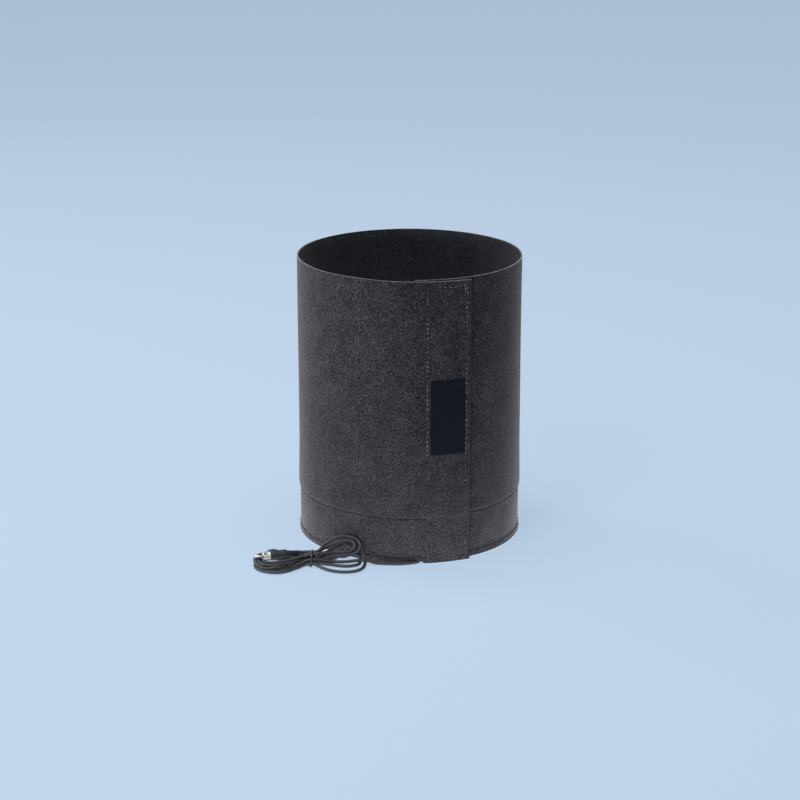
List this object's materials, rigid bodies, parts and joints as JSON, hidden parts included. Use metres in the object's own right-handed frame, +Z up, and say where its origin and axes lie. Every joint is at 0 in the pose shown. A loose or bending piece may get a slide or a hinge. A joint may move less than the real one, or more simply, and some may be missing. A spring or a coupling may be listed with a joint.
{
  "type": "heated dew shield",
  "caption": "Rolled flexible dew shield with an overlapping hook-and-loop closure, a heater pocket round its foot and a hanked low-voltage lead with a phono plug.",
  "frame": {"origin": "centre of the tube's foot, on the surface it stands on", "axes": "+Z up along the tube, -Y towards the front where the flap closes, +X to the right seen from the front"},
  "size_m": [0.2862, 0.2767, 0.305],
  "materials": {
    "sheet": "black stiff sheet with a fine speckled grain",
    "lining": "thin black felt",
    "closure": "black woven hook-and-loop",
    "label": "bare woven satin label",
    "pocket": "black woven cloth",
    "heater_tape": "woven heat-proof tape",
    "heater_wire": "bare resistance wire",
    "splice": "tinned crimp sleeve",
    "core": "insulated conductor",
    "cord": "smooth black jacket",
    "tie": "coated twist wire",
    "plug_body": "moulded satin black",
    "plug_metal": "bright warm plating",
    "plug_insulator": "pale moulded disc"
  },
  "bodies": {
    "root": {"shell_sheet": "sheet", "felt_lining": "lining", "hook_strip": "closure", "loop_strip": "closure", "label": "label", "heater_pocket": "pocket", "heater_tape": "heater_tape", "heater_wire": "heater_wire", "splice_sleeve_1": "splice", "splice_sleeve_2": "splice", "lead_core_1": "core", "lead_core_2": "core", "cord_lead": "cord", "cord_hank": "cord", "cord_tie": "tie", "plug_boot": "plug_body", "plug_grip": "plug_body", "plug_ground_shell": "plug_metal", "plug_insulator": "plug_insulator", "plug_pin": "plug_metal"}
  },
  "joints": []
}
